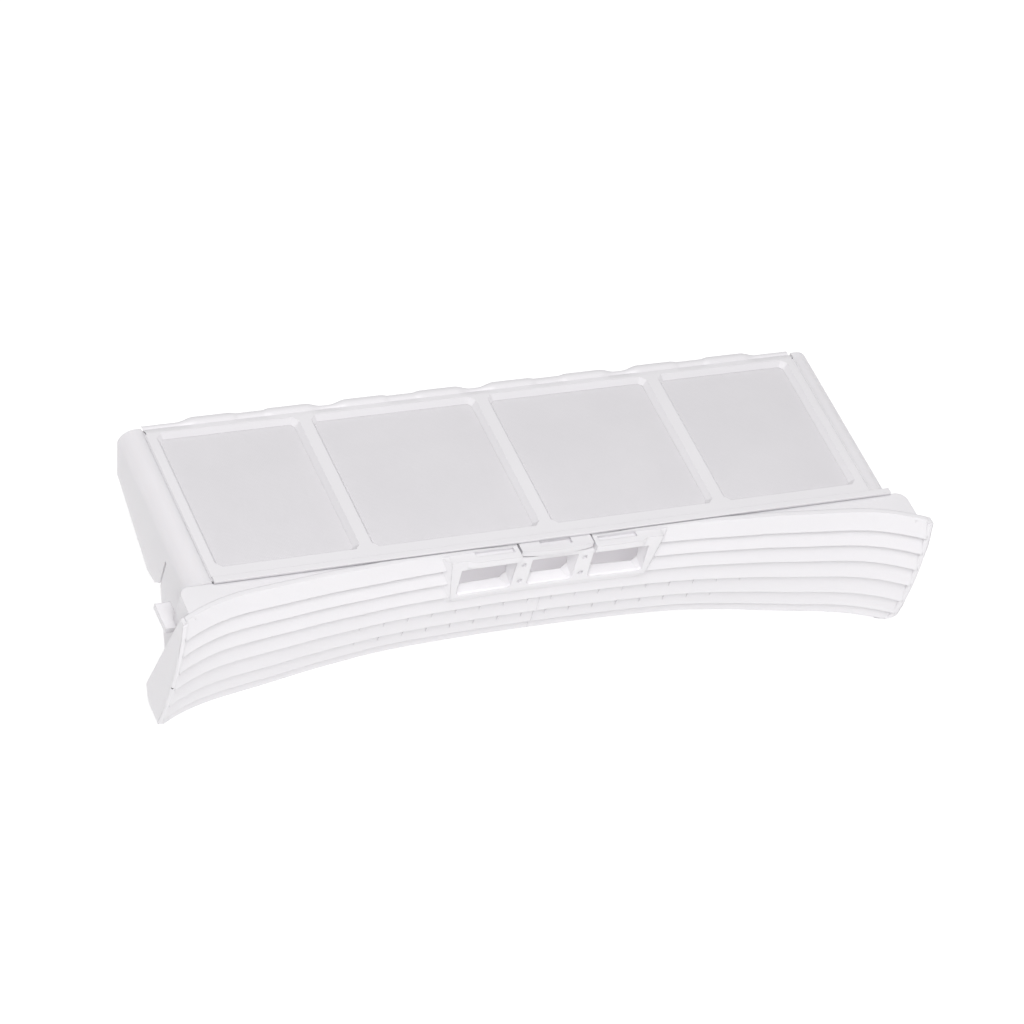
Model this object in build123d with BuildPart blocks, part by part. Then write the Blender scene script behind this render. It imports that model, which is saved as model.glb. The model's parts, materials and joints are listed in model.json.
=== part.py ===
"""Tumble dryer lint filter: a tray with mesh windows, a curved ridged front panel and a hinged mesh lid.

X runs along the filter, +Y points into the machine, Z is normal to the lid.
The origin is the middle of the lid's top face. All lengths are in millimetres.
"""

import os
from math import asin, atan2, cos, degrees, sin, sqrt

from build123d import *

# Front panel: plan curve, outline and ridges
panel_length = 360.0
panel_top = 0.4
panel_front = 47.2
centre_radius = 1340.0
end_radius = 91.0
bend_x = 144.0
corner_radius = 7.0
band_heights = (7.9, 7.4, 8.1, 8.9, 9.7, 8.4, 5.1)
foot_strip = 1.2
arch_drop = 9.0
arch_start = 60.0
arch_end = 160.0
ridge_lap = 1.7
lip_edge = 0.7
panel_bulge = 3.8
panel_wall = 2.2
rim_width = 2.6
rim_proud = 0.4
rim_depth = 14.0
rim_foot = 4.0
end_overrun = 1.5
middle_steps = 6
end_steps = 4

# Fascia behind the panel's top edge, and the neck's end walls under it
fascia_top = -0.8
fascia_wall = 2.2
fascia_back = 46.3
neck_inset = 5.0
neck_depth = 18.0
neck_corner = 5.0
guide_front = 54.5
guide_back = 40.0
guide_wall = 2.6
lid_ledge = 3.6

# Handle zone with its finger openings, and the latch
handle_half = 51.0
handle_foot_half = 46.5
handle_bottom = -27.0
handle_foot = -22.5
handle_proud = 4.8
handle_foot_proud = 6.0
brow_front = 54.3
brow_half = 45.0
brow_end = 53.0
brow_wall = 3.6
finger_top = -7.2
finger_bottom = -16.5
finger_side_inner = 21.5
finger_side_outer = 42.0
finger_middle_half = 8.0
finger_corner = 4.0
finger_bevel = 3.0
finger_bevel_top = 1.0
finger_bevel_foot = 4.5
bevel_corner = 1.2
pit_radius = 1.1
pit_spacing = 9.2
pit_middle = -13.2
block_slot_length = 18.5
block_slot_width = 2.6
block_slot_x = 29.5
tab_half = 17.2
tab_reach = 6.6
tab_bow = 1.6
tab_wall = 3.2
tab_slot_length = 15.0
tab_slot_width = 3.6
tab_gap = 0.8

# Tray
tray_inset = 11.0
tray_side = 9.6
tray_back = 45.0
tray_wall = 2.2
skin_wall = 2.0
shoulder = 7.0
rim_top = -0.4
back_edge = 7.5
heel_y = 38.0
back_depth = 20.0
front_depth = 26.0
floor_front = -22.0
throat_depth = 56.0
throat_gap = 3.2
lug_depth = 31.5
lug_low = -8.0
lug_toe = (-16.5, -30.0)
lug_slit = 1.3
lug_slit_top = -12.6

# Lid
lid_gap = 0.5
lid_wall = 4.0
lid_back = 42.4
lid_front = 45.2
lid_edge = 0.9
lip_overrun = 8.7
lip_front = 47.2
lip_back = 44.0
lip_bottom = -0.1
lip_wall = 1.1
lip_gap = 0.5

# Mesh windows, the same four columns in the lid and in the tray floor
bar_half = 4.8
bar_spacing = 85.2
window_edge = 6.3
lid_window_y = (-36.5, 38.9)
floor_window_y = (-17.0, 34.0)
window_corner = 1.6
window_bevel = 2.0
mesh_depth = 2.5
mesh_wall = 0.4
mesh_seat = 1.2
mesh_gap = 0.2

# Hinge along the back edge
hinge_y = 46.0
hinge_z = -2.6
rod_radius = 1.3
hinge_clearance = 0.09
knuckle_radius = 2.9
knuckle_length = 16.0
knuckle_count = 8
knuckle_pitch = 36.0
clip_radius = 2.4
clip_length = 11.0
clip_mouth = 2.0
clip_room = 0.6
rail_drop = 0.5

os.makedirs("parts", exist_ok=True)

# Plan curve of the panel: one long arc in the middle, a tighter arc at each end
panel_height = sum(band_heights) + foot_strip
panel_bottom = panel_top - panel_height
panel_half = panel_length / 2
neck_half = panel_half - neck_inset
tray_half = panel_half - tray_inset
tray_inner = tray_half - tray_side
lid_half = tray_inner - lid_gap
lip_left = -lid_half
lip_right = lid_half + lip_overrun
window_inner = (bar_half, bar_spacing - bar_half)
window_outer = (bar_spacing + bar_half, lid_half - window_edge)
bend_angle = asin(bend_x / centre_radius)
bend_y = -panel_front - centre_radius * (1 - cos(bend_angle))
end_centre_x = bend_x - end_radius * sin(bend_angle)
end_centre_y = bend_y - end_radius * cos(bend_angle)


def plan_y(x):
    """Y of the panel's top ridge line at a distance x from the middle."""
    reach = abs(x)
    if reach <= bend_x:
        return -panel_front - centre_radius + sqrt(centre_radius**2 - reach**2)
    return end_centre_y + sqrt(end_radius**2 - (reach - end_centre_x) ** 2)


def facing_plane(x):
    """Upright plane across the panel, its local x towards the viewer and its local y up."""
    if abs(x) <= bend_x:
        angle = asin(x / centre_radius)
    else:
        angle = asin((abs(x) - end_centre_x) / end_radius) * (1 if x > 0 else -1)
    forward = Vector(-sin(angle), -cos(angle), 0)
    return Plane(origin=(x, plan_y(x), 0), x_dir=forward, z_dir=forward.cross(Vector(0, 0, 1)))


def arch(x):
    """How much taller the panel is at x than in its middle: its foot falls away towards both ends."""
    share = min(max((abs(x) - arch_start) / (arch_end - arch_start), 0), 1)
    return 1 + arch_drop / panel_height * share**2 * (3 - 2 * share)


end_x = panel_half + end_overrun
middle_stations = [bend_x * (step + 1) / middle_steps for step in range(middle_steps)]
end_stations = [bend_x + (end_x - bend_x) * (step + 1) / end_steps for step in range(end_steps)]
half_stations = middle_stations + end_stations
stations = [-x for x in reversed(half_stations)] + [0.0] + half_stations


def curved_wall(outline):
    """Carry a closed outline of (towards viewer, up) points along the plan curve."""
    sections = []
    for x in stations:
        with BuildSketch(facing_plane(x)) as section:
            with BuildLine():
                taller = [(out, panel_top + (up - panel_top) * arch(x)) for out, up in outline]
                Polyline(*taller, close=True)
            make_face()
        sections.append(section.sketch)
    loft(sections)


def bulge(z):
    """How far the panel stands out at a height z: nothing at top and bottom, most in the middle."""
    middle = (panel_top + panel_bottom) / 2
    return panel_bulge * (1 - ((z - middle) / (panel_height / 2)) ** 2)


band_lines = [panel_top - sum(band_heights[:count]) for count in range(len(band_heights) + 1)]


def ridged_outline():
    """Lapped ridges on the front, each foot standing out over the next ridge, with a plain back."""
    points = [(0, panel_top)]
    for foot in band_lines[1:]:
        points.append((bulge(foot) + ridge_lap, foot + lip_edge))
        points.append((bulge(foot), foot))
    points += [(0, panel_bottom), (-rim_foot, panel_bottom), (-rim_foot, panel_bottom + foot_strip)]
    points += [(bulge(line) - panel_wall, line) for line in reversed(band_lines[:-1])]
    return points


def border_outline():
    """The same wall without ridges, a little lower than their lips and reaching back as an end wall."""
    foot = panel_bottom - rim_proud
    points = [(rim_proud, panel_top - rim_proud)]
    points += [(bulge(line) + rim_proud, line) for line in band_lines[1:]]
    points += [(rim_proud, foot), (-rim_foot, foot), (-rim_depth, foot + rim_depth - rim_foot)]
    points += [(-panel_wall - rim_proud, panel_top - rim_proud)]
    return points


front_plane = Plane.XZ.offset(fascia_back - rim_depth)
front_reach = fascia_back + rim_depth


panel_foot = panel_top - panel_height - arch_drop


def panel_outline(inset=0.0):
    """Front view of the panel, its ends moved in by inset, with rounded lower corners."""
    with BuildSketch(front_plane) as outline:
        with Locations((0, (panel_top + panel_foot) / 2)):
            Rectangle(2 * (panel_half - inset), panel_top - panel_foot)
        fillet(outline.vertices().group_by(Axis.Y)[0], corner_radius)
    return outline.sketch


def chamfered_view(front, place, size, corner):
    """Front view of an opening with cut lower corners, on an upright plane at a distance in front."""
    with BuildSketch(Plane.XZ.offset(front)) as view:
        with Locations(place):
            Rectangle(*size)
        chamfer(view.vertices().group_by(Axis.Y)[0], corner)
    return view.sketch


# Ridged wall of the front panel
with BuildPart() as ridged_wall:
    curved_wall(ridged_outline())
    extrude(panel_outline(rim_width - lip_edge), amount=front_reach, mode=Mode.INTERSECT)

# Border strip and end wall at both ends of the panel
with BuildPart() as border_slab:
    curved_wall(border_outline())
with BuildPart() as border:
    extrude(panel_outline(), amount=front_reach)
    with Locations((0, 0, panel_foot / 2)):
        Box(2 * (panel_half - rim_width), 4 * front_reach, 4 * front_reach, mode=Mode.SUBTRACT)
    add(border_slab.part, mode=Mode.INTERSECT)

# Handle zone, proud of the ridges
with BuildPart() as handle_slab:
    handle_section = [
        (-panel_wall / 2, fascia_top),
        (handle_proud, fascia_top),
        (handle_foot_proud, handle_foot),
        (panel_bulge + lip_edge / 2, handle_bottom),
        (panel_bulge - panel_wall / 2, handle_bottom),
    ]
    with BuildSketch(facing_plane(bend_x)) as handle_profile:
        with BuildLine():
            Polyline(*handle_section, close=True)
        make_face()
    plan_axis = Axis((0, -panel_front - centre_radius, 0), (0, 0, 1))
    revolve(handle_profile.sketch, axis=plan_axis, revolution_arc=2 * degrees(bend_angle))
with BuildPart() as handle:
    with BuildSketch(front_plane) as handle_view:
        with BuildLine():
            Polyline(
                (-handle_half, fascia_top),
                (handle_half, fascia_top),
                (handle_foot_half, handle_bottom),
                (-handle_foot_half, handle_bottom),
                close=True,
            )
        make_face()
        fillet(handle_view.vertices().group_by(Axis.Y)[0], corner_radius)
    extrude(amount=front_reach)
    add(handle_slab.part, mode=Mode.INTERSECT)

with BuildPart() as front_panel:
    add(ridged_wall.part)
    add(border.part)
    add(handle.part)
    # Fascia, from the lid's front edge to the panel's top ridge
    with BuildSketch(Plane.XY.offset(fascia_top)) as fascia_view:
        with BuildLine():
            Line((-neck_half, -fascia_back), (neck_half, -fascia_back))
            Line((neck_half, -fascia_back), (neck_half, plan_y(neck_half)))
            middle_x = (neck_half + bend_x) / 2
            ThreePointArc((neck_half, plan_y(neck_half)), (middle_x, plan_y(middle_x)), (bend_x, bend_y))
            ThreePointArc((bend_x, bend_y), (0, -panel_front), (-bend_x, bend_y))
            ThreePointArc((-bend_x, bend_y), (-middle_x, plan_y(middle_x)), (-neck_half, plan_y(neck_half)))
            Line((-neck_half, plan_y(neck_half)), (-neck_half, -fascia_back))
        make_face()
        fillet(fascia_view.vertices().group_by(Axis.Y)[-1], neck_corner)
    extrude(amount=-fascia_wall)
    # Latch blocks: a brow over each side opening, running out into the fascia
    for side in (-1, 1):
        with BuildSketch(Plane.XY.offset(fascia_top)):
            with BuildLine():
                brow = Polyline(
                    (side * brow_end, plan_y(brow_end)),
                    (side * brow_end, -fascia_back),
                    (side * (tab_half + tab_gap), -fascia_back),
                    (side * (tab_half + tab_gap), -brow_front),
                    (side * (brow_half - corner_radius), -brow_front),
                )
                Spline(brow @ 1, brow @ 0, tangents=((side, 0), (side, 0)))
            make_face()
        extrude(amount=-brow_wall)
    # End walls of the neck, turned in against the tray, each with a guide rib along its foot
    for side in (-1, 1):
        with BuildSketch(Plane.XY.offset(fascia_top)) as neck_view:
            with BuildLine():
                Polyline(
                    (side * neck_half, plan_y(neck_half)),
                    (side * neck_half, -fascia_back),
                    (side * (tray_half - skin_wall), -fascia_back),
                    (side * (tray_half - skin_wall), -fascia_back - panel_wall),
                    (side * (neck_half - panel_wall), -fascia_back - panel_wall),
                    (side * (neck_half - panel_wall), plan_y(neck_half)),
                    close=True,
                )
            make_face()
            corner = neck_view.vertices().group_by(Axis.Y)[-1].sort_by(Axis.X)[0 if side < 0 else -1]
            fillet(corner, neck_corner)
        extrude(amount=-neck_depth)
        guide_width = panel_half - neck_half + panel_wall
        guide_x = side * (panel_half - guide_width / 2)
        guide_z = fascia_top - neck_depth + guide_wall / 2
        with Locations((guide_x, -(guide_front + guide_back) / 2, guide_z)):
            Box(guide_width, guide_front - guide_back, guide_wall)
    # Ledge that the lid's front edge closes on
    ledge_half = window_outer[1]
    ledge_top = -lid_wall - mesh_gap
    ledge_foot = ledge_top - fascia_wall
    with Locations((0, -fascia_back + (lid_ledge - fascia_wall) / 2, ledge_top - fascia_wall / 2)):
        Box(2 * ledge_half, lid_ledge + fascia_wall, fascia_wall)
    with Locations((0, -fascia_back - fascia_wall / 2, (fascia_top + ledge_foot) / 2)):
        Box(2 * ledge_half, fascia_wall, fascia_top - ledge_foot)
    # Finger openings, each a bevelled mouth on a smaller hole
    finger_middle = (finger_top + finger_bottom) / 2
    finger_height = finger_top - finger_bottom
    mouth_middle = finger_middle + (finger_bevel_top - finger_bevel_foot) / 2
    mouth_height = finger_height + finger_bevel_top + finger_bevel_foot
    side_width = finger_side_outer - finger_side_inner
    side_x = (finger_side_outer + finger_side_inner) / 2
    for finger_x, finger_width in ((-side_x, side_width), (0, 2 * finger_middle_half), (side_x, side_width)):
        mouth_size = finger_width + 2 * finger_bevel, mouth_height
        mouth_front = panel_front + handle_proud
        mouth = chamfered_view(mouth_front, (finger_x, mouth_middle), mouth_size, bevel_corner)
        hole_size = finger_width, finger_height
        hole_front = panel_front - panel_wall
        hole = chamfered_view(hole_front, (finger_x, finger_middle), hole_size, finger_corner)
        extrude(mouth, amount=2 * handle_proud, mode=Mode.SUBTRACT)
        loft([mouth, hole], ruled=True, mode=Mode.SUBTRACT)
        extrude(hole, amount=-panel_wall, mode=Mode.SUBTRACT)
    # Pits in the two pillars between the openings
    pillar_x = (finger_middle_half + finger_side_inner) / 2
    pit_front = panel_front + handle_proud
    with BuildSketch(Plane.XZ.offset(pit_front - 2 * pit_radius)):
        with Locations((-pillar_x, pit_middle), (pillar_x, pit_middle)):
            with GridLocations(1, pit_spacing, 1, 2):
                Circle(pit_radius)
    extrude(amount=front_reach / 2, mode=Mode.SUBTRACT)
    # Slots in the latch blocks
    with BuildSketch(Plane.XY.offset(fascia_top)):
        slot_y = -fascia_back - tab_reach / 2
        with Locations((-block_slot_x, slot_y), (block_slot_x, slot_y)):
            Rectangle(block_slot_length, block_slot_width)
    extrude(amount=-fascia_wall / 2, mode=Mode.SUBTRACT)
    # Room for the lid's front edge above its ledge
    with Locations((0, -fascia_back + rim_depth / 2, ledge_top + lid_wall)):
        Box(2 * tray_half, rim_depth, 2 * lid_wall, mode=Mode.SUBTRACT)
    # Room for the lid's lip above the fascia
    lip_room = Align.MAX, Align.MIN, Align.MIN
    with Locations((lip_right + lip_gap, -lip_front - lip_gap, lip_bottom - lip_gap)):
        Box(lip_right - lip_left + 2 * lip_gap, lip_front, lip_front, align=lip_room, mode=Mode.SUBTRACT)
    # Recess for the lid's latch tab
    recess_reach = tab_reach + tab_bow + tab_gap + front_reach
    with Locations((0, -fascia_back + fascia_wall - recess_reach / 2, -tab_wall / 2 - tab_gap / 2)):
        Box(2 * (tab_half + tab_gap), recess_reach, tab_wall + tab_gap, mode=Mode.SUBTRACT)
front_panel.part.label = "front_panel"
export_step(front_panel.part, "parts/front_panel.step")

# Tray: sloping floor, throat that opens out to the panel, hollow side walls and hinge rail
floor_angle = atan2(front_depth - back_depth, heel_y - floor_front)
tray_front = -fascia_back
rail_top = hinge_z + rail_drop


def tray_outline(top, front):
    """Side view of the tray, up to a top height and a front edge."""
    throat_slope = (throat_depth - front_depth) / (floor_front - tray_front)
    return [
        (tray_back, top),
        (tray_back, -back_edge),
        (heel_y, -back_depth),
        (floor_front, -front_depth),
        (front, -front_depth - throat_slope * (floor_front - front)),
        (front, top),
    ]


def side_outline():
    """Side view of the outer skin: a lug hangs below the floor, and the neck follows the throat."""
    return [
        (tray_back, rim_top),
        (tray_back, -back_edge),
        (heel_y, -back_depth),
        (lug_low, -lug_depth),
        lug_toe,
        (floor_front + lug_slit, -front_depth),
        (floor_front, -front_depth),
        (tray_front, -throat_depth),
        (tray_front, rim_top),
    ]


def knuckle_places():
    return [knuckle_pitch * (index - (knuckle_count - 1) / 2) for index in range(knuckle_count)]


def clip_places():
    """Every second gap between the knuckles holds a clip of the lid."""
    knuckles = knuckle_places()
    return [(knuckles[index] + knuckles[index + 1]) / 2 for index in range(0, knuckle_count - 1, 2)]


floor_plane = Plane(
    origin=(0, heel_y, -back_depth),
    x_dir=(1, 0, 0),
    z_dir=(0, -sin(floor_angle), cos(floor_angle)),
).offset(tray_wall)


def window_columns():
    """Middle and width along X of the four mesh windows."""
    columns = []
    for low, high in (window_inner, window_outer):
        columns += [(side * (low + high) / 2, high - low) for side in (-1, 1)]
    return sorted(columns)


def floor_span():
    """Middle and length of the floor windows, measured along the sloping floor."""
    low, high = [(y - heel_y) / cos(floor_angle) for y in floor_window_y]
    return (low + high) / 2, high - low


with BuildPart() as tray:
    # Outer skins with a rounded shoulder
    with BuildSketch(Plane.YZ):
        with BuildLine():
            Polyline(*side_outline(), close=True)
        make_face()
    extrude(amount=tray_half, both=True)
    fillet(tray.edges().filter_by(Axis.Y).group_by(Axis.Z)[-1], shoulder)
    # Inside of the tray, open at the top and at the front
    with BuildSketch(Plane.YZ):
        with BuildLine():
            Polyline(*tray_outline(shoulder, tray_front - shoulder), close=True)
        make_face()
        offset(amount=-tray_wall, kind=Kind.INTERSECTION)
    extrude(amount=tray_inner, both=True, mode=Mode.SUBTRACT)
    # Room between the lugs under the floor
    with BuildSketch(Plane.YZ):
        with BuildLine():
            Polyline(*side_outline(), close=True)
        make_face()
        with BuildLine():
            Polyline(*tray_outline(rim_top, tray_front), close=True)
        make_face(mode=Mode.SUBTRACT)
    extrude(amount=tray_half - skin_wall, both=True, mode=Mode.SUBTRACT)
    # Hollow of each side wall, and the slit between its lug and its neck
    hollow_inner = tray_inner + tray_wall
    hollow_outer = tray_half - skin_wall
    hollow_top = rim_top - shoulder - skin_wall
    hollow_width = hollow_outer - hollow_inner
    hollow_length = heel_y - tray_front - 2 * skin_wall
    hollow_x = (hollow_inner + hollow_outer) / 2
    for side in (-1, 1):
        with Locations((side * hollow_x, (heel_y + tray_front) / 2, hollow_top - throat_depth / 2)):
            Box(hollow_width, hollow_length, throat_depth, mode=Mode.SUBTRACT)
        with Locations((side * tray_half, floor_front + lug_slit / 2, lug_slit_top - front_depth / 2)):
            Box(2 * skin_wall, lug_slit, front_depth, mode=Mode.SUBTRACT)
    # Throat kept clear of the panel's back, and back wall lowered to a hinge rail
    with Locations((0, tray_front, -throat_depth / 2)):
        Box(2 * tray_inner, 2 * throat_gap, 2 * throat_depth, mode=Mode.SUBTRACT)
    with Locations((0, tray_back, rail_top + tray_wall)):
        Box(2 * tray_inner, 4 * tray_wall, 2 * tray_wall, mode=Mode.SUBTRACT)
    # Floor windows with a rebate for each mesh panel
    floor_middle, floor_length = floor_span()
    for column_x, column_width in window_columns():
        with BuildSketch(floor_plane.offset(-tray_wall)):
            with Locations((column_x, floor_middle)):
                Rectangle(column_width, floor_length)
        extrude(amount=tray_wall, both=True, mode=Mode.SUBTRACT)
        with BuildSketch(floor_plane):
            with Locations((column_x, floor_middle)):
                Rectangle(column_width + 2 * mesh_seat, floor_length + 2 * mesh_seat)
        extrude(amount=-2 * mesh_wall, mode=Mode.SUBTRACT)
    # Hinge rod carried by knuckles, with the rail cut away under each clip
    notch_depth = clip_radius - hinge_z + clip_room
    for clip_x in clip_places():
        with Locations((clip_x, tray_back - tray_wall / 2, 0)):
            Box(clip_length + 2 * clip_room, 2 * tray_wall, 2 * notch_depth, mode=Mode.SUBTRACT)
    for knuckle_x in knuckle_places():
        with Locations(Location((knuckle_x, hinge_y, hinge_z), (0, 90, 0))):
            Cylinder(knuckle_radius, knuckle_length)
        with Locations((knuckle_x, (tray_back - tray_wall + hinge_y) / 2, hinge_z - knuckle_radius / 2)):
            Box(knuckle_length, hinge_y - tray_back + tray_wall, knuckle_radius)
    with Locations(Location((0, hinge_y, hinge_z), (0, 90, 0))):
        Cylinder(rod_radius, knuckle_pitch * (knuckle_count - 1))
tray.part.label = "tray"
export_step(tray.part, "parts/tray.step")

# Lid: window frame with latch tab and hinge clips
lid_middle_y = (lid_back - lid_front) / 2
lid_window_middle = (lid_window_y[0] + lid_window_y[1]) / 2
lid_window_length = lid_window_y[1] - lid_window_y[0]
with BuildPart() as lid_frame:
    with BuildSketch():
        with Locations((0, lid_middle_y)):
            RectangleRounded(2 * lid_half, lid_back + lid_front, window_corner)
    extrude(amount=-lid_wall)
    chamfer(lid_frame.faces().sort_by(Axis.Z)[-1].edges(), lid_edge)
    # Raised lip along the front edge, hanging over the fascia
    with Locations(((lip_left + lip_right) / 2, -(lip_front + lip_back) / 2, lip_bottom + lip_wall / 2)):
        Box(lip_right - lip_left, lip_front - lip_back, lip_wall)
    fillet(lid_frame.faces().sort_by(Axis.Z)[-1].edges().filter_by(Axis.X), lip_wall / 3)
    # Latch tab with a bowed front edge
    with BuildSketch(Plane.XY.offset(-tab_gap / 2)):
        with BuildLine():
            Polyline(
                (-tab_half, -lid_front - tab_reach),
                (-tab_half, -lid_front + lid_edge),
                (tab_half, -lid_front + lid_edge),
                (tab_half, -lid_front - tab_reach),
            )
            ThreePointArc(
                (tab_half, -lid_front - tab_reach),
                (0, -lid_front - tab_reach - tab_bow),
                (-tab_half, -lid_front - tab_reach),
            )
        make_face()
    extrude(amount=-tab_wall + tab_gap / 2)
    with BuildSketch():
        with Locations((0, -lid_front - tab_reach / 2)):
            Rectangle(tab_slot_length, tab_slot_width)
    extrude(amount=-lid_wall, mode=Mode.SUBTRACT)
    # Windows, bevelled above the mesh and rebated below it
    for column_x, column_width in window_columns():
        with BuildSketch(Plane.XY.offset(-mesh_depth)) as window_foot:
            with Locations((column_x, lid_window_middle)):
                Rectangle(column_width, lid_window_length)
            chamfer(window_foot.vertices(), window_corner)
        with BuildSketch(Plane.XY) as window_top:
            with Locations((column_x, lid_window_middle)):
                Rectangle(column_width + 2 * window_bevel, lid_window_length + 2 * window_bevel)
            chamfer(window_top.vertices(), window_corner + window_bevel / 2)
        loft(ruled=True, mode=Mode.SUBTRACT)
        with BuildSketch(Plane.XY.offset(-mesh_depth)):
            with Locations((column_x, lid_window_middle)):
                Rectangle(column_width + 2 * mesh_seat, lid_window_length + 2 * mesh_seat)
        extrude(amount=-lid_wall, mode=Mode.SUBTRACT)
    # Clips that snap over the hinge rod
    for clip_x in clip_places():
        arm_reach = hinge_y - lid_back + tray_wall
        with Locations((clip_x, hinge_y - arm_reach / 2, hinge_z)):
            Box(clip_length, arm_reach, clip_radius)
        with Locations(Location((clip_x, hinge_y, hinge_z), (0, 90, 0))):
            Cylinder(clip_radius, clip_length)
            Cylinder(rod_radius + hinge_clearance, clip_length, mode=Mode.SUBTRACT)
        with Locations((clip_x, hinge_y, hinge_z - clip_radius)):
            Box(clip_length, clip_mouth, 2 * clip_radius, mode=Mode.SUBTRACT)
lid_frame.part.label = "lid_frame"
export_step(lid_frame.part, "parts/lid_frame.step")

# Mesh panels of the lid and of the tray floor, one behind each window
for number, (column_x, column_width) in enumerate(window_columns(), start=1):
    seat_play = 2 * (mesh_seat - mesh_gap)
    with BuildPart() as lid_mesh:
        with BuildSketch(Plane.XY.offset(-mesh_depth)):
            with Locations((column_x, lid_window_middle)):
                Rectangle(column_width + seat_play, lid_window_length + seat_play)
        extrude(amount=-mesh_wall)
    lid_mesh.part.label = f"lid_mesh_{number}"
    export_step(lid_mesh.part, f"parts/lid_mesh_{number}.step")
    with BuildPart() as floor_mesh:
        with BuildSketch(floor_plane.offset(-2 * mesh_wall)):
            with Locations((column_x, floor_middle)):
                Rectangle(column_width + seat_play, floor_length + seat_play)
        extrude(amount=mesh_wall)
    floor_mesh.part.label = f"floor_mesh_{number}"
    export_step(floor_mesh.part, f"parts/floor_mesh_{number}.step")
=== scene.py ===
"""Looks of the tumble dryer filter: white moulded plastic, woven mesh, studio light and the photo's camera.

Sizes of pieces are in millimetres in the filter's own frame, and become metres where a mesh is made.
Sizes of finishes and of the studio are in metres.
"""

import json
from math import asin, cos, pi, radians, sin, sqrt

import bmesh
import bpy
from mathutils import Matrix, Vector


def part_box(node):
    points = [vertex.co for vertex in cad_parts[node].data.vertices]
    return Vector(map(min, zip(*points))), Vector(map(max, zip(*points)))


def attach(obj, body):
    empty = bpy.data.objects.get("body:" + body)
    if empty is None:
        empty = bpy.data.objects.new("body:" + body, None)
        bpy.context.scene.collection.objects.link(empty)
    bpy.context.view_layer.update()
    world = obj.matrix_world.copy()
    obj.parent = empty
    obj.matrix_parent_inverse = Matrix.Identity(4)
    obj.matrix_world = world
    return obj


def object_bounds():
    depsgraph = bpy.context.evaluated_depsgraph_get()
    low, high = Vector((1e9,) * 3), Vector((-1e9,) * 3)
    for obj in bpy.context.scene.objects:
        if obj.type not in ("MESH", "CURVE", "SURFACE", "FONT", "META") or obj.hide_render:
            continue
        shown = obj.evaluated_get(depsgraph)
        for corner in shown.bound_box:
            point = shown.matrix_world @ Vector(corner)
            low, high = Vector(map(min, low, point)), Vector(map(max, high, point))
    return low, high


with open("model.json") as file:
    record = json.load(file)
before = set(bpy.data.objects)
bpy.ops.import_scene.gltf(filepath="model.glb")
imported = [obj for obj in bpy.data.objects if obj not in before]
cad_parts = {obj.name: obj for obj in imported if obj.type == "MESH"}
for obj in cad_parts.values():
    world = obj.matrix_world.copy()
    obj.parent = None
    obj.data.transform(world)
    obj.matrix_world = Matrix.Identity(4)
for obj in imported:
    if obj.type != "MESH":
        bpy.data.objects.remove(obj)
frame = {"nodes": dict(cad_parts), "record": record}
cad_low, cad_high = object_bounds()

MM = 0.001

# Camera, fitted to the photo: place and axes in the filter's own frame
CAMERA_PLACE = Vector((-885.3, -1240.7, 1408.0)) * MM
CAMERA_RIGHT = Vector((0.8977, -0.3721, 0.2359))
CAMERA_UP = Vector((0.1160, 0.7162, 0.6882))
CAMERA_LENS = 166.9
CAMERA_CLIP = (0.01, 50.0)
SENSOR_WIDTH = 36.0

# Studio: a white light table, a softbox, and a strip under the lid's front bar.
# The strip stands for the light that a real throat gets from below.
FLOOR_SIZE = 12.0
FLOOR_DROP = 0.0005
FLOOR_TONE = 0.30
FLOOR_ROUGHNESS = 0.9
FLOOR_GLOW = 0.84
WORLD_GLOW = 0.42
KEY_PLACE = (-0.4, -0.78, 1.8)
KEY_SIZE = 1.5
KEY_POWER = 31.5
STRIP_PLACE = Vector((0.0, -38.0, -5.6)) * MM
STRIP_AIM = Vector((0.0, 0.3, -1.0))
STRIP_LENGTH = 0.3
STRIP_DEPTH = 0.006
STRIP_POWER = 0.022

# Finishes
PURE_WHITE = (1.0, 1.0, 1.0)
PANEL_WHITE = (0.815, 0.80, 0.822)
TRAY_WHITE = (0.79, 0.772, 0.795)
LID_WHITE = (0.79, 0.775, 0.797)
MESH_GREY = (0.85, 0.833, 0.857)
NOISE_SPAN = (0.3, 0.7)
CLOUD_SCALE = 18.0
CLOUD_DETAIL = 3.0
CLOUD_SHADE = 0.975
# Painted shade: an occlusion mask darkens the plastic's colour in creases and where parts close in
CREASE_SAMPLES = 6
CREASE_REACH = 0.0016
CREASE_SPAN = (0.3, 0.9)
CREASE_SHADE_TONE = (0.93, 0.93, 0.935)
GLOSS_SPREAD = 0.06
SOFT_EDGE_SAMPLES = 4
GRAIN_SCALE = 1400.0
GRAIN_DETAIL = 2.0
GRAIN_STRENGTH = 0.10
GRAIN_DEPTH = 0.0002
SCATTER_RADIUS = (1.0, 0.95, 0.9)
SCATTER_SCALE = 0.006
THREAD_SCALE = 420.0
THREAD_SPAN = (0.25, 0.8)
THREAD_SHADE = 0.9
THREAD_STRENGTH = 0.3
THREAD_DEPTH = 0.0001
HAZE_SCALE = 26.0
HAZE_DETAIL = 4.0
HAZE_TONE = (0.97, 0.97, 0.972)
MESH_ROUGHNESS = 0.75
MESH_COVER = 0.75
# Painted shade for a small hole, with faint painted light in random flecks
HOLE_SCALE = 600.0
HOLE_DETAIL = 2.0
HOLE_DARK = (0.02, 0.02, 0.02)
HOLE_LIGHT = (0.06, 0.06, 0.06)
HOLE_ROUGHNESS = 0.8
SHARP_ANGLE = 35.0

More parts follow.
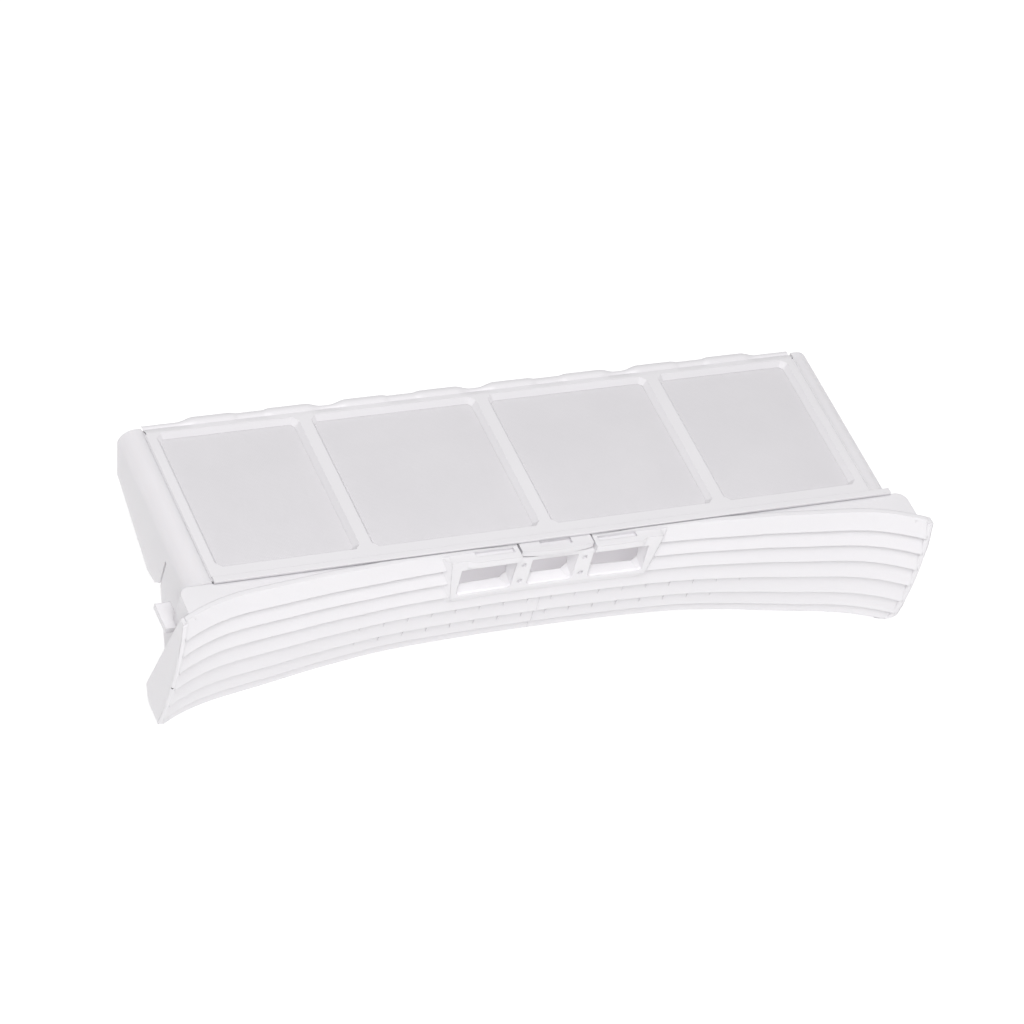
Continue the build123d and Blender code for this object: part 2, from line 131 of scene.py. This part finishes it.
# Front panel, as in the solid: plan curve, ridges, and the foot that falls away towards the ends
PANEL_TOP = 0.4
PANEL_FRONT = 47.2
CENTRE_RADIUS = 1340.0
END_RADIUS = 91.0
BEND_X = 144.0
CORNER_RADIUS = 7.0
BAND_HEIGHTS = (7.9, 7.4, 8.1, 8.9, 9.7, 8.4, 5.1)
FOOT_STRIP = 1.2
ARCH_DROP = 9.0
RIDGE_LAP = 1.7
LIP_EDGE = 0.7
PANEL_BULGE = 3.8

# Ticks under two of the ridges, and the mould line
GUSSET_LINES = (4, 5)
GUSSET_SPACING = 11.6
GUSSET_COUNT = 17
GUSSET_HEIGHT = 3.6
GUSSET_WIDTH = 0.6
GUSSET_FOOT = 0.38
GUSSET_OUT = 0.9
SEAM_TOP_LINE = 4
SEAM_WIDTH = 0.7
SEAM_PROUD = 0.3

# Rounded border at the panel's ends, with a disc of painted shade for the pin hole in the left one
BEAD_RADIUS = 1.15
BEAD_INSET = 1.3
BEAD_OUT = 0.25
BEAD_STEPS = 24
BEAD_CORNER_STEPS = 8
BEAD_SIDES = 10
PIN_HEIGHT = -34.7
PIN_RADIUS = 0.55
PIN_PROUD = 0.05
PIN_RISE = 0.3
PIN_SIDES = 16

# Floors of the four pits in the handle
PIT_X = 14.75
PIT_HEIGHTS = (-8.6, -17.8)
PIT_RADIUS = 1.1
PIT_FLOOR = 49.6
PIT_FRONTS = (51.9, 52.4)
PIT_DISH = 0.2
PIT_SIDES = 20

# Ramps that carry the sides of the handle zone out into the ridges
HANDLE_TOP_HALF = 51.0
HANDLE_FOOT_HALF = 46.5
HANDLE_SECTION = ((-0.85, 4.8), (-22.5, 6.0), (-26.9, 4.15))
RAMP_WIDTH = 6.0
RAMP_STEPS = 10
RAMP_SINK = 0.14

# Floor of the slot in the lid's latch tab
TAB_SLOT_LENGTH = 14.96
TAB_SLOT_WIDTH = 3.56
TAB_SLOT_Y = -48.5
TAB_SLOT_FLOOR = -1.9
TAB_SLOT_FOOT = -2.9
TAB_SLOT_DISH = 0.25

# Hinge cover, a thin leaf of the lid that wraps over the knuckles
LID_BACK = 42.4
KNUCKLE_COUNT = 8
KNUCKLE_PITCH = 36.0
KNUCKLE_LENGTH = 16.0
CLIP_LENGTH = 11.0
COVER_KNUCKLE = 3.2
COVER_CLIP = 2.6
COVER_VALLEY = 1.6
COVER_RUNOUT = 8.0
COVER_WALL = 0.2
COVER_LAP = 1.2
COVER_LAP_TOP = -0.04
COVER_EDGE_TOP = -0.06
COVER_START = 135.0
COVER_END = 30.0
COVER_STEPS = 10
COVER_PITCH = 0.8

# Beads on the tray that close the narrow gaps at the lid's sides
GAP_WIDTH = 0.5
GAP_PLAY = 0.04
GAP_BEAD_TOP = -0.12
GAP_BEAD_FOOT = -4.4
GAP_BEAD_ENDS = (-45.6, 42.0)

# Rounded fillers that make the lid's side edges full
EDGE_WIDTH = 1.0
EDGE_SINK = 0.02
EDGE_ROUND = 0.25
EDGE_STEPS = 4
EDGE_ENDS = (-43.2, 40.6)

panel_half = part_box("front_panel")[1].x / MM
lid_half = -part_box("lid_frame")[0].x / MM
hinge_axis = Vector(frame["record"]["behaviour"]["joints"][0]["pos_m"]) / MM
panel_height = sum(BAND_HEIGHTS) + FOOT_STRIP
end_stretch = 1 + ARCH_DROP / panel_height
band_lines = [PANEL_TOP - sum(BAND_HEIGHTS[:count]) for count in range(len(BAND_HEIGHTS) + 1)]
bend_angle = asin(BEND_X / CENTRE_RADIUS)
end_centre_x = BEND_X - END_RADIUS * sin(bend_angle)
end_centre_y = -PANEL_FRONT - CENTRE_RADIUS + (CENTRE_RADIUS - END_RADIUS) * cos(bend_angle)


def make_camera():
    data = bpy.data.cameras.new("photo_camera")
    data.lens = CAMERA_LENS
    data.sensor_width = SENSOR_WIDTH
    data.clip_start, data.clip_end = CAMERA_CLIP
    camera = bpy.data.objects.new("photo_camera", data)
    bpy.context.scene.collection.objects.link(camera)
    right = CAMERA_RIGHT.normalized()
    up = (CAMERA_UP - right * right.dot(CAMERA_UP)).normalized()
    back = right.cross(up)
    turn = Matrix((right, up, back)).transposed()
    camera.matrix_world = Matrix.Translation(CAMERA_PLACE) @ turn.to_4x4()
    bpy.context.scene.camera = camera


def new_material(name):
    """A node material: returns it, its node tree and its main shader."""
    material = bpy.data.materials.new(name)
    material.use_nodes = True
    tree = material.node_tree
    return material, tree, tree.nodes["Principled BSDF"]


def object_place(tree):
    return tree.nodes.new("ShaderNodeTexCoord").outputs["Object"]


def noise(tree, place, scale, detail):
    node = tree.nodes.new("ShaderNodeTexNoise")
    node.inputs["Scale"].default_value = scale
    node.inputs["Detail"].default_value = detail
    tree.links.new(place, node.inputs["Vector"])
    return node.outputs["Fac"]


def ramp(tree, value, span, low_colour, high_colour):
    """A colour that goes from one tone to another as a value goes through a span."""
    node = tree.nodes.new("ShaderNodeValToRGB")
    for element, position, colour in zip(node.color_ramp.elements, span, (low_colour, high_colour)):
        element.position = position
        element.color = [*colour, 1.0]
    tree.links.new(value, node.inputs["Fac"])
    return node.outputs["Color"]


def multiply(tree, first, second):
    """One colour tinted by another."""
    node = tree.nodes.new("ShaderNodeMix")
    node.data_type = "RGBA"
    node.blend_type = "MULTIPLY"
    node.inputs["Factor"].default_value = 1.0
    tree.links.new(first, node.inputs["A"])
    tree.links.new(second, node.inputs["B"])
    return node.outputs["Result"]


def bump(tree, height, strength, depth):
    node = tree.nodes.new("ShaderNodeBump")
    node.inputs["Strength"].default_value = strength
    node.inputs["Distance"].default_value = depth
    tree.links.new(height, node.inputs["Height"])
    return node


def plastic_material(name, colour, roughness, scatter, edge_radius):
    """Satin moulded plastic: soft edges, a fine spark-eroded grain, flow clouds, and painted shade that
    darkens the creases.
    """
    material, tree, shader = new_material(name)
    nodes, links = tree.nodes, tree.links
    place = object_place(tree)
    cloud = noise(tree, place, CLOUD_SCALE, CLOUD_DETAIL)
    tone = ramp(tree, cloud, NOISE_SPAN, [c * CLOUD_SHADE for c in colour], colour)
    # Painted shade: the colour darkens where the occlusion mask finds nearby surfaces
    crease = nodes.new("ShaderNodeAmbientOcclusion")
    crease.samples = CREASE_SAMPLES
    crease.inputs["Distance"].default_value = CREASE_REACH
    painted_crease_shade = ramp(tree, crease.outputs["AO"], CREASE_SPAN, CREASE_SHADE_TONE, PURE_WHITE)
    links.new(multiply(tree, tone, painted_crease_shade), shader.inputs["Base Color"])
    gloss = nodes.new("ShaderNodeMapRange")
    gloss.inputs["To Min"].default_value = roughness - GLOSS_SPREAD
    gloss.inputs["To Max"].default_value = roughness + GLOSS_SPREAD
    links.new(cloud, gloss.inputs["Value"])
    links.new(gloss.outputs["Result"], shader.inputs["Roughness"])
    edge = nodes.new("ShaderNodeBevel")
    edge.samples = SOFT_EDGE_SAMPLES
    edge.inputs["Radius"].default_value = edge_radius * MM
    grain = bump(tree, noise(tree, place, GRAIN_SCALE, GRAIN_DETAIL), GRAIN_STRENGTH, GRAIN_DEPTH)
    links.new(edge.outputs["Normal"], grain.inputs["Normal"])
    links.new(grain.outputs["Normal"], shader.inputs["Normal"])
    shader.inputs["Subsurface Weight"].default_value = scatter
    shader.inputs["Subsurface Radius"].default_value = SCATTER_RADIUS
    shader.inputs["Subsurface Scale"].default_value = SCATTER_SCALE
    return material


def mesh_material(name, colour):
    """Fine woven screen: crossed threads, a faint haze of lint, and gaps that let some light through."""
    material, tree, shader = new_material(name)
    nodes, links = tree.nodes, tree.links
    place = object_place(tree)
    weave = nodes.new("ShaderNodeMath")
    weave.operation = "MAXIMUM"
    for direction, socket in zip(("X", "Y"), weave.inputs):
        wave = nodes.new("ShaderNodeTexWave")
        wave.bands_direction = direction
        wave.inputs["Scale"].default_value = THREAD_SCALE
        links.new(place, wave.inputs["Vector"])
        links.new(wave.outputs["Fac"], socket)
    threads = ramp(tree, weave.outputs["Value"], THREAD_SPAN, [c * THREAD_SHADE for c in colour], colour)
    haze = ramp(tree, noise(tree, place, HAZE_SCALE, HAZE_DETAIL), NOISE_SPAN, HAZE_TONE, PURE_WHITE)
    links.new(multiply(tree, threads, haze), shader.inputs["Base Color"])
    relief = bump(tree, weave.outputs["Value"], THREAD_STRENGTH, THREAD_DEPTH)
    links.new(relief.outputs["Normal"], shader.inputs["Normal"])
    shader.inputs["Roughness"].default_value = MESH_ROUGHNESS
    shader.inputs["Alpha"].default_value = MESH_COVER
    return material


def hole_material(name):
    """Painted shade for the inside of a small hole: near black, with random flecks a little lighter that
    stand for light caught on its wall.
    """
    material, tree, shader = new_material(name)
    shade = noise(tree, object_place(tree), HOLE_SCALE, HOLE_DETAIL)
    tree.links.new(ramp(tree, shade, NOISE_SPAN, HOLE_DARK, HOLE_LIGHT), shader.inputs["Base Color"])
    shader.inputs["Roughness"].default_value = HOLE_ROUGHNESS
    return material


def dress(node, material):
    piece = frame["nodes"][node]
    piece.data.materials.clear()
    piece.data.materials.append(material)


def make_piece(name, vertices, faces, material, body, slot):
    """A new mesh in millimetres that rides on a body, smooth except at its sharp edges."""
    data = bpy.data.meshes.new(name)
    data.from_pydata([Vector(point) * MM for point in vertices], [], faces)
    shape = bmesh.new()
    shape.from_mesh(data)
    bmesh.ops.recalc_face_normals(shape, faces=shape.faces)
    shape.to_mesh(data)
    shape.free()
    data.shade_smooth()
    data.set_sharp_from_angle(angle=radians(SHARP_ANGLE))
    data.materials.append(material)
    piece = bpy.data.objects.new(name, data)
    bpy.context.scene.collection.objects.link(piece)
    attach(piece, body)


def sided(name, side):
    """A piece's name with the end that it is at."""
    return f"{name}_left" if side < 0 else f"{name}_right"


def skin(sections):
    """Vertices and faces of a closed skin through a row of closed sections, capped at both ends."""
    count = len(sections[0])
    vertices = [point for section in sections for point in section]
    faces = []
    for row in range(len(sections) - 1):
        for step in range(count):
            here = row * count + step
            after = row * count + (step + 1) % count
            faces.append((here, after, after + count, here + count))
    faces.append(tuple(range(count)))
    faces.append(tuple(len(vertices) - count + step for step in range(count)))
    return vertices, faces


def turns(count):
    """Angles spaced evenly round a full turn."""
    return [2 * pi * step / count for step in range(count)]


def ease(share):
    """A share from 0 to 1 that starts and ends gently."""
    return share**2 * (3 - 2 * share)


def plan_angle(x):
    """Direction that the panel faces at x, turned from straight ahead."""
    if abs(x) <= BEND_X:
        return asin(x / CENTRE_RADIUS)
    return asin((abs(x) - end_centre_x) / END_RADIUS) * (1 if x > 0 else -1)


def plan_y(x):
    """Y of the panel's top ridge line at a distance x from the middle."""
    if abs(x) <= BEND_X:
        return -PANEL_FRONT - CENTRE_RADIUS + sqrt(CENTRE_RADIUS**2 - x**2)
    return end_centre_y + sqrt(END_RADIUS**2 - (abs(x) - end_centre_x) ** 2)


def panel_point(x, z, out):
    """The point at height z that stands out in front of the plan curve at x."""
    angle = plan_angle(x)
    return (x - sin(angle) * out, plan_y(x) - cos(angle) * out, z)


def bulge(z):
    """How far the panel stands out at a height z of its middle."""
    middle = PANEL_TOP - panel_height / 2
    return PANEL_BULGE * (1 - ((z - middle) / (panel_height / 2)) ** 2)


def make_gussets(material):
    """Short ribs in the corner under two of the lips, in the panel's middle."""
    vertices = []
    faces = []
    for line in GUSSET_LINES:
        foot = band_lines[line]
        for index in range(GUSSET_COUNT):
            x = GUSSET_SPACING * (index - (GUSSET_COUNT - 1) / 2) + GUSSET_SPACING / 2
            first = len(vertices)
            for edge in (x - GUSSET_WIDTH / 2, x + GUSSET_WIDTH / 2):
                vertices.append(panel_point(edge, foot + LIP_EDGE / 2, bulge(foot) - LIP_EDGE))
                vertices.append(panel_point(edge, foot + LIP_EDGE / 2, bulge(foot) + GUSSET_OUT))
                vertices.append(panel_point(edge, foot - GUSSET_HEIGHT, bulge(foot) + GUSSET_FOOT))
            left = (first, first + 1, first + 2)
            right = (first + 3, first + 4, first + 5)
            faces += [left, right]
            for step in range(3):
                after = (step + 1) % 3
                faces.append((left[step], left[after], right[after], right[step]))
    make_piece("ridge_gussets", vertices, faces, material, "body", "white_plastic")


def ridge_profile(top_line):
    """Points (height, out) down the ridged face, from one band line to the foot."""
    points = [(band_lines[top_line], bulge(band_lines[top_line]))]
    for foot in band_lines[top_line + 1:]:
        points.append((foot + LIP_EDGE, bulge(foot) + RIDGE_LAP))
        points.append((foot, bulge(foot)))
    return points


def make_seam(material):
    """The fine mould line down the lower middle of the panel."""
    half = SEAM_WIDTH / 2
    corners = ((-half, -SEAM_PROUD), (-half / 2, SEAM_PROUD), (half / 2, SEAM_PROUD), (half, -SEAM_PROUD))
    sections = []
    for z, out in ridge_profile(SEAM_TOP_LINE):
        sections.append([panel_point(x, z, out + proud) for x, proud in corners])
    make_piece("mould_seam", *skin(sections), material, "body", "white_plastic")


def bead_path():
    """Heights and insets from the end along one end of the panel, round its lower corner."""
    straight_foot = PANEL_TOP - panel_height - ARCH_DROP + CORNER_RADIUS
    top = PANEL_TOP - BEAD_RADIUS
    path = []
    for step in range(BEAD_STEPS + 1):
        path.append((top + (straight_foot - top) * step / BEAD_STEPS, BEAD_INSET))
    turn = CORNER_RADIUS - BEAD_INSET
    for step in range(1, BEAD_CORNER_STEPS + 1):
        angle = radians(90 * step / BEAD_CORNER_STEPS)
        path.append((straight_foot - turn * sin(angle), CORNER_RADIUS - turn * cos(angle)))
    return path


def bead_middle(side, z, inset):
    """Middle of the border at one end, at a height: its station on the plan curve, and how far out."""
    flat_z = PANEL_TOP + (z - PANEL_TOP) / end_stretch
    out = bulge(flat_z) + BEAD_OUT
    reach = panel_half - inset
    return side * (reach + out * sin(plan_angle(reach))), out


def make_end_bead(side, material):
    """Rounded border along one end of the panel, which the ridges run into."""
    sections = []
    for z, inset in bead_path():
        station, out = bead_middle(side, z, inset)
        section = []
        for turn in turns(BEAD_SIDES):
            across = BEAD_RADIUS * cos(turn)
            proud = BEAD_RADIUS * sin(turn)
            section.append(panel_point(station + across, z, out + proud))
        sections.append(section)
    make_piece(sided("end_bead", side), *skin(sections), material, "body", "white_plastic")


def make_pin_shade_disc(side, material):
    """A disc of painted shade on the border at one end, facing out and forward, that stands for a small
    hole.
    """
    station, out = bead_middle(side, PIN_HEIGHT, BEAD_INSET)
    middle = Vector(panel_point(station, PIN_HEIGHT, out))
    facing = Vector((side, -1.0, PIN_RISE)).normalized()
    across = facing.cross(Vector((0, 0, 1))).normalized()
    up = across.cross(facing)
    front = BEAD_RADIUS + PIN_PROUD
    sections = []
    for radius, depth in ((PIN_RADIUS, 0.0), (PIN_RADIUS, front), (PIN_RADIUS / 2, front + PIN_PROUD / 2)):
        centre = middle + facing * depth
        sections.append([centre + (across * cos(t) + up * sin(t)) * radius for t in turns(PIN_SIDES)])
    make_piece("pin_shade_disc", *skin(sections), material, "body", "white_plastic")


def along(points, z):
    """The value at a height z on a broken line of (height, value) points, from the top down."""
    for (top, first), (foot, last) in zip(points, points[1:]):
        if z >= foot:
            return first + (last - first) * (top - z) / (top - foot)
    return points[-1][1]


def make_handle_ramp(side, material):
    """A soft ramp from one side of the handle zone down to the ridges beside it."""
    top = HANDLE_SECTION[0][0]
    foot = HANDLE_SECTION[-1][0]
    sections = []
    for row in range(RAMP_STEPS + 1):
        z = top + (foot - top) * row / RAMP_STEPS
        start = HANDLE_TOP_HALF + (HANDLE_FOOT_HALF - HANDLE_TOP_HALF) * row / RAMP_STEPS - LIP_EDGE
        section = []
        for step in range(RAMP_STEPS + 1):
            share = step / RAMP_STEPS
            fall = ease(share)
            out = along(HANDLE_SECTION, z) * (1 - fall) + (bulge(z) - LIP_EDGE) * fall
            section.append(panel_point(side * (start + RAMP_WIDTH * share), z, out - RAMP_SINK))
        section.append(panel_point(side * (start + RAMP_WIDTH), z, bulge(z) - 2 * LIP_EDGE))
        section.append(panel_point(side * start, z, bulge(z) - 2 * LIP_EDGE))
        sections.append(section)
    make_piece(sided("handle_ramp", side), *skin(sections), material, "body", "white_plastic")


def make_pit_floors(material):
    """Dished floors that leave the four pits of the handle shallow."""
    vertices = []
    faces = []
    for side in (-1, 1):
        x = side * PIT_X
        for z, front in zip(PIT_HEIGHTS, PIT_FRONTS):
            rings = ((PIT_RADIUS, PIT_FLOOR), (PIT_RADIUS, front), (PIT_RADIUS / 2, front - PIT_DISH))
            sections = []
            for radius, y in rings:
                sections.append([(x + radius * cos(t), -y, z + radius * sin(t)) for t in turns(PIT_SIDES)])
            first = len(vertices)
            points, sides = skin(sections)
            vertices += points
            faces += [tuple(first + corner for corner in face) for face in sides]
    make_piece("pit_floors", vertices, faces, material, "body", "white_plastic")


def make_tab_slot_floor(material):
    """Dished floor that leaves the slot in the latch tab shallow."""
    half_length = TAB_SLOT_LENGTH / 2
    low_y = TAB_SLOT_Y - TAB_SLOT_WIDTH / 2
    high_y = TAB_SLOT_Y + TAB_SLOT_WIDTH / 2
    foot = TAB_SLOT_FOOT
    sections = []
    for x in (-half_length, -half_length / 2, 0, half_length / 2, half_length):
        floor = TAB_SLOT_FLOOR - TAB_SLOT_DISH * (1 - (x / half_length) ** 2)
        sections.append([(x, low_y, foot), (x, low_y, floor), (x, high_y, floor), (x, high_y, foot)])
    make_piece("tab_slot_floor", *skin(sections), material, "lid", "lid_plastic")


def knuckle_places():
    return [KNUCKLE_PITCH * (index - (KNUCKLE_COUNT - 1) / 2) for index in range(KNUCKLE_COUNT)]


def swell(distance, flat, top):
    """A cover radius that stays full over a flat length and eases down to the valley beside it."""
    share = min(max((distance - flat) / COVER_RUNOUT, 0), 1)
    return top + (COVER_VALLEY - top) * ease(share)


def cover_radius(x):
    """Radius of the hinge cover at x: full over each knuckle, less over each clip, least between them."""
    knuckles = knuckle_places()
    clips = [knuckles[index] + KNUCKLE_PITCH / 2 for index in range(0, KNUCKLE_COUNT - 1, 2)]
    radii = [swell(abs(x - place), KNUCKLE_LENGTH / 2 + COVER_WALL, COVER_KNUCKLE) for place in knuckles]
    radii += [swell(abs(x - place), CLIP_LENGTH / 2 + COVER_WALL, COVER_CLIP) for place in clips]
    return max(radii)


def cover_line(x, radius, drop):
    """From the lid's back edge over the hinge: points of one face of the cover at x."""
    points = [(x, LID_BACK - COVER_LAP, COVER_LAP_TOP - drop), (x, LID_BACK, COVER_EDGE_TOP - drop)]
    for step in range(COVER_STEPS + 1):
        angle = radians(COVER_START + (COVER_END - COVER_START) * step / COVER_STEPS)
        points.append((x, hinge_axis.y + radius * cos(angle), hinge_axis.z + radius * sin(angle)))
    return points


def make_hinge_cover(material):
    """Thin wavy leaf over the knuckles, from the lid's back edge."""
    steps = round(2 * lid_half / COVER_PITCH)
    sections = []
    for step in range(steps + 1):
        x = (lid_half - GAP_WIDTH) * (2 * step / steps - 1)
        radius = cover_radius(x)
        outer = cover_line(x, radius, 0.0)
        inner = cover_line(x, radius - COVER_WALL, COVER_WALL)
        sections.append(outer + inner[::-1])
    make_piece("hinge_cover", *skin(sections), material, "lid", "lid_plastic")


def make_gap_bead(side, material):
    """Thin bead on the tray that fills the gap beside the lid nearly to its top."""
    inner = lid_half + GAP_PLAY
    outer = lid_half + GAP_WIDTH
    middle = (inner + outer) / 2
    outline = [(inner, GAP_BEAD_FOOT), (inner, GAP_BEAD_TOP - GAP_PLAY), (middle, GAP_BEAD_TOP)]
    outline += [(outer, GAP_BEAD_TOP), (outer, GAP_BEAD_FOOT)]
    sections = [[(side * x, y, z) for x, z in outline] for y in GAP_BEAD_ENDS]
    make_piece(sided("gap_bead", side), *skin(sections), material, "body", "white_plastic")


def make_lid_edge(side, material):
    """Rounded filler on one bevelled side edge of the lid, which leaves only a fine gap beside it."""
    inner = lid_half - EDGE_WIDTH
    outer = lid_half - EDGE_SINK
    outline = [(inner, -EDGE_WIDTH), (inner, -EDGE_SINK)]
    for step in range(EDGE_STEPS + 1):
        turn = radians(90 - 90 * step / EDGE_STEPS)
        x = outer - EDGE_ROUND + EDGE_ROUND * cos(turn)
        outline.append((x, -EDGE_SINK - EDGE_ROUND + EDGE_ROUND * sin(turn)))
    outline.append((outer, -EDGE_WIDTH))
    sections = [[(side * x, y, z) for x, z in outline] for y in EDGE_ENDS]
    make_piece(sided("lid_edge", side), *skin(sections), material, "lid", "lid_plastic")


def make_floor():
    """A wide white light table just under the lowest edge of the panel."""
    bpy.ops.mesh.primitive_plane_add(size=FLOOR_SIZE, location=(0, 0, cad_low.z - FLOOR_DROP))
    floor = bpy.context.object
    floor.name = "floor"
    material, _, shader = new_material("floor_paper")
    shader.inputs["Base Color"].default_value = (FLOOR_TONE, FLOOR_TONE, FLOOR_TONE, 1.0)
    shader.inputs["Roughness"].default_value = FLOOR_ROUGHNESS
    shader.inputs["Specular IOR Level"].default_value = 0.0
    shader.inputs["Emission Color"].default_value = (*PURE_WHITE, 1.0)
    shader.inputs["Emission Strength"].default_value = FLOOR_GLOW
    floor.data.materials.append(material)


def area_light(name, place, target, size, power, depth=None):
    """A round softbox, or a strip where a depth is given, aimed at a target."""
    data = bpy.data.lights.new(name, "AREA")
    data.shape = "RECTANGLE" if depth else "DISK"
    data.size = size
    data.size_y = depth or size
    data.energy = power
    lamp = bpy.data.objects.new(name, data)
    lamp.visible_camera = False
    lamp.location = place
    lamp.rotation_euler = (Vector(target) - Vector(place)).to_track_quat("-Z", "Y").to_euler()
    bpy.context.scene.collection.objects.link(lamp)


def make_light():
    world = bpy.data.worlds.new("studio")
    bpy.context.scene.world = world
    world.use_nodes = True
    background = world.node_tree.nodes["Background"]
    background.inputs["Color"].default_value = (*PURE_WHITE, 1.0)
    background.inputs["Strength"].default_value = WORLD_GLOW
    area_light("key_softbox", KEY_PLACE, (0, 0, 0), KEY_SIZE, KEY_POWER)
    area_light("throat_strip", STRIP_PLACE, STRIP_PLACE + STRIP_AIM, STRIP_LENGTH, STRIP_POWER, STRIP_DEPTH)
    bpy.context.scene.view_settings.view_transform = "Standard"


# Thin pieces let no light in, because their hidden sides would swallow it and leave them dark
plastic = plastic_material("white_plastic", PANEL_WHITE, roughness=0.45, scatter=0.1, edge_radius=0.5)
trim_plastic = plastic_material("trim_plastic", PANEL_WHITE, roughness=0.45, scatter=0.0, edge_radius=0.15)
tray_plastic = plastic_material("tray_plastic", TRAY_WHITE, roughness=0.45, scatter=0.3, edge_radius=0.4)
lid_plastic = plastic_material("lid_plastic", LID_WHITE, roughness=0.42, scatter=0.0, edge_radius=0.12)
screen = mesh_material("woven_mesh", MESH_GREY)
hole_dark = hole_material("hole_shadow")
dress("tray", tray_plastic)
dress("front_panel", plastic)
dress("lid_frame", lid_plastic)
for number in range(1, 5):
    dress(f"lid_mesh_{number}", screen)
    dress(f"floor_mesh_{number}", screen)

make_gussets(trim_plastic)
make_seam(trim_plastic)
for end in (-1, 1):
    make_end_bead(end, trim_plastic)
    make_gap_bead(end, trim_plastic)
    make_lid_edge(end, lid_plastic)
    make_handle_ramp(end, trim_plastic)
# A dark disc of painted shade stands for the pin hole
make_pin_shade_disc(-1, hole_dark)
make_pit_floors(trim_plastic)
make_tab_slot_floor(lid_plastic)
make_hinge_cover(lid_plastic)

make_camera()
make_floor()
make_light()
